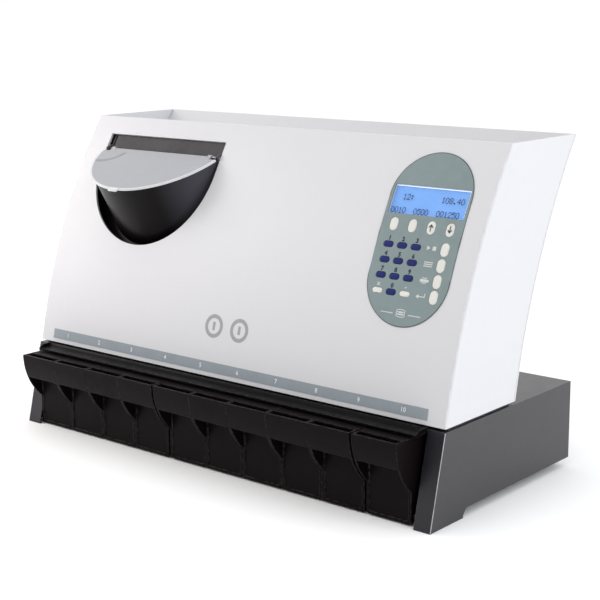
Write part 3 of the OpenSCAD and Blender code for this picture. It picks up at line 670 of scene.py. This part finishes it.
def bar_mark(width, height, x, s):
    """A flat upright rectangle, its width and height in millimetres, as a mark at (x, s)."""
    a, b = width / 2, height / 2
    return polygon_mark([(-a, -b), (a, -b), (a, b), (-a, b)], x, s)


def ring_mark(radius, band, x, s, squash=1.0):
    """A flat ring: the points at angle a lie at radius and radius - band, squashed in s."""
    steps = 48
    angle = np.linspace(0, 2 * math.pi, steps + 1)
    outer = np.stack([radius * np.cos(angle), squash * radius * np.sin(angle)], -1)
    inner = np.stack([(radius - band) * np.cos(angle), (squash * radius - band) * np.sin(angle)], -1)
    points = np.concatenate([outer, inner]) * MM
    return points, [(i, i + 1, i + steps + 2, i + steps + 1) for i in range(steps)], x, s


figures = [(*flat_text(str(digit), figure_size, figure_weight), x, s + figure_rise)
           for digit, (x, s) in digit_places.items()]
printed("key_figures", figures, overlay_lift, navy_ink, "chassis")

# Beside the function keys: play and stop, a batch of bars, a printed slip and a return arrow.
# Over the white number keys: a cross and a point. At the foot: a coin stack between two bars.
sign_x = 261.5 * MM
play, batch, slip, enter = function_rows
clear_x, point_x, small_sign_s = number_columns[0], number_columns[2], number_rows[3] + figure_rise
stack_s, stack_bar_s, stack_bar_x = 108.0 * MM, 109.5 * MM, 18 * MM
signs = [
    polygon_mark([(-6.5, -2.6), (-2.0, 0), (-6.5, 2.6)], sign_x, play),
    bar_mark(4.6, 4.6, sign_x + 2.8 * MM, play),
    *[bar_mark(11, 1.1, sign_x, batch + rise * MM) for rise in (-2.2, 0, 2.2)],
    bar_mark(11, 3.0, sign_x, slip - 0.6 * MM),
    bar_mark(6, 1.0, sign_x, slip + 2.2 * MM),
    bar_mark(6, 1.0, sign_x, slip - 3.2 * MM),
    bar_mark(8, 1.1, sign_x + 1.2 * MM, enter - 1.0 * MM),
    bar_mark(1.1, 4.0, sign_x + 4.7 * MM, enter + 0.9 * MM),
    polygon_mark([(-6.6, -1.0), (-2.6, -3.4), (-2.6, 1.4)], sign_x, enter),
    polygon_mark([(-2.2, -1.5), (-1.5, -2.2), (2.2, 1.5), (1.5, 2.2)], clear_x, small_sign_s),
    polygon_mark([(-1.5, 2.2), (-2.2, 1.5), (1.5, -2.2), (2.2, -1.5)], clear_x, small_sign_s),
    ring_mark(0.9, 0.85, point_x, small_sign_s),
    *[ring_mark(6.0, 0.9, panel_x, stack_s + rise * MM, squash=0.36) for rise in (0, 2.4, 4.8)],
    *[bar_mark(16, 1.0, panel_x + side * stack_bar_x, stack_bar_s) for side in (-1, 1)],
]
pale_ink = finish("pale_ink", (0.58, 0.61, 0.60), 0.5, edge_radius=0.0001, dust_amount=0.0)
printed("function_signs", signs, overlay_lift, pale_ink, "chassis")


def pill_ring(width, length, band, x, s):
    """A flat band along the outline of an upright pill: half circles joined by straight sides."""
    steps = 120
    angle = np.linspace(0, 2 * math.pi, steps, endpoint=False)
    reach = (length - width) / 2 * np.sign(np.round(np.sin(angle), 9))
    rings = [np.stack([r * np.cos(angle), reach + r * np.sin(angle)], -1)
             for r in (width / 2, width / 2 - band)]
    faces = [(i, (i + 1) % steps, steps + (i + 1) % steps, steps + i) for i in range(steps)]
    return np.concatenate(rings) * MM, faces, x, s


# painted shadow: a dark band round the membrane for the shade in its narrow joint
panel_width, panel_length, panel_s = 106.0, 197.0, 194.3 * MM
joint_width, joint_lift = 0.55, 0.74 * MM
joint_painted_shadow = finish("joint_shadow", (0.035, 0.04, 0.042), 0.7, edge_radius=0.0001, dust_amount=0.0)
printed("overlay_joint", [pill_ring(panel_width, panel_length, joint_width, panel_x, panel_s)], joint_lift,
        joint_painted_shadow, "chassis")

arrow_head = [(-3.1, 0.6), (0, 4.2), (3.1, 0.6), (2.2, -0.3), (0.65, 1.5), (-0.65, 1.5), (-2.2, -0.3)]
arrow_stem = [(-0.65, -4.2), (0.65, -4.2), (0.65, 1.9), (-0.65, 1.9)]
key_print_lift = 1.22 * MM
for node_name, x, way in (("key_up", key_columns[2], 1), ("key_down", key_columns[3], -1)):
    arrow = [polygon_mark([(way * a, way * b) for a, b in part], x, soft_row)
             for part in (arrow_head, arrow_stem)]
    printed(node_name + "_arrow", arrow, key_print_lift, navy_ink, node_name)

# ---------------------------------------------------------------- display
# A backlit blue character module under a clear pane: five-by-seven dots for each figure, over faint
# upright stripes, two to a cell.
cell = 4.95 * MM
cell_columns, letter_height = 5.7, 6.9 * MM
dots = {
    "0": "01110 10001 10001 10001 10001 10001 01110", "1": "00100 01100 00100 00100 00100 00100 01110",
    "2": "01110 10001 00001 00010 00100 01000 11111", "4": "00010 00110 01010 10010 11111 00010 00010",
    "5": "11111 10000 11110 00001 00001 10001 01110", "8": "01110 10001 10001 01110 10001 10001 01110",
    ".": "00000 00000 00000 00000 00000 01100 01100", ":": "00000 01100 01100 00000 01100 01100 00000",
    ">": "01000 00100 00010 00001 00010 00100 01000",
}


def character_marks(text, x, s):
    """A dot-matrix line that starts at x with its middle at s: one small square for each dot."""
    step_x, step_s, half = cell / cell_columns, letter_height / 7, 0.5
    rows = [(k, i, j) for k, sign in enumerate(text) if sign in dots
            for j, line in enumerate(dots[sign].split()) for i, bit in enumerate(line) if bit == "1"]
    k, i, j = np.array(rows, float).T
    centre_x = k * cell + (i + 0.5) * step_x
    centre_s = (3 - j) * step_s
    corner = np.array([(-half, -half), (half, -half), (half, half), (-half, half)])
    points = np.stack([centre_x[:, None] + corner[:, 0] * step_x,
                       centre_s[:, None] + corner[:, 1] * step_s], -1)
    faces = [tuple(range(n, n + 4)) for n in range(0, 4 * len(rows), 4)]
    return points.reshape(-1, 2), faces, x, s


display_light, tree, shader = new_material("display_light", {
    "Base Color": (0.12, 0.3, 0.75, 1), "Roughness": 0.35, "Emission Strength": 0.44})
place = put(tree, "TexCoord").outputs["Object"]
uneven = put(tree, "TexNoise", {"Vector": place, "Scale": 22.0, "Detail": 1.0})
lit = blend_colours(tree, uneven.outputs["Fac"], (0.19, 0.44, 0.82), (0.32, 0.55, 0.90))
across = put(tree, "SeparateXYZ", {"Vector": place})
phase = put(tree, "Math", {0: across.outputs["X"], 1: 4 * math.pi / cell}, operation="MULTIPLY")
stripe = put(tree, "Math", {0: phase.outputs[0]}, operation="SINE")
faint = put(tree, "MapRange", {"Value": stripe.outputs[0], "From Min": 0.2, "From Max": 1.0, "To Min": 0.0,
                               "To Max": 0.3})
lit = blend_colours(tree, faint.outputs["Result"], lit, (0.42, 0.63, 0.93))
tree.links.new(lit, shader["Emission Color"])
dress(display_light, "lcd_module")

pane = new_material("clear_pane", {"Base Color": (0.94, 0.97, 1.0, 1), "Roughness": 0.04,
                                   "Transmission Weight": 1.0, "IOR": 1.2, "Specular IOR Level": 0.3})[0]
dress(pane, "lcd_window")

display_ink = finish("display_ink", (0.008, 0.03, 0.15), 0.6, edge_radius=0.0001, dust_amount=0.0)
upper_line, lower_line = 238.7 * MM, 222.9 * MM
display_lines = [character_marks("12:", 204.6 * MM, upper_line),
                 character_marks("108.40", 255.0 * MM, upper_line),
                 character_marks("0010  0500  001250 >", 193.4 * MM, lower_line)]
# the module's glass lies behind the housing's face
glass_lift = -1.72 * MM
printed("display_figures", display_lines, glass_lift, display_ink, "chassis")

# light that leaks along the top and the right edge of the module's glass
edge_glow, tree, shader = new_material("edge_glow", {"Roughness": 0.4, "Emission Strength": 0.55})
place = put(tree, "TexCoord").outputs["Object"]
patchy = put(tree, "TexNoise", {"Vector": place, "Scale": 60.0, "Detail": 2.0})
leak = blend_colours(tree, patchy.outputs["Fac"], (0.55, 0.75, 0.95), (0.82, 0.93, 1.0))
tree.links.new(leak, shader["Emission Color"])
window_x, window_s, window_w, window_h = 241.0, 235.4, 97.6, 33.0
top_band, right_band = 1.1, 1.5
leaks = [bar_mark(window_w, top_band, window_x * MM, (window_s + window_h / 2 - 0.6) * MM),
         bar_mark(right_band, window_h, (window_x + window_w / 2 - 0.8) * MM, window_s * MM)]
printed("display_edge_light", leaks, glass_lift, edge_glow, "chassis")

# ---------------------------------------------------------------- emblem
# Two coins side by side, each a ring round an upright bar, printed in mid grey low on the housing.
emblem_grey = finish("emblem_grey", (0.33, 0.33, 0.34), 0.4, edge_radius=0.0001, dust_amount=0.0)
emblem_s = 59.5 * MM
coin_radius, coin_band, coin_bar = 14.0, 4.6, (4.0, 10.0)
emblem = [mark for x in (-19 * MM, 21 * MM)
          for mark in (ring_mark(coin_radius, coin_band, x, emblem_s), bar_mark(*coin_bar, x, emblem_s))]
ink_lift = 0.06 * MM
printed("coin_emblem", emblem, ink_lift, emblem_grey, "chassis")
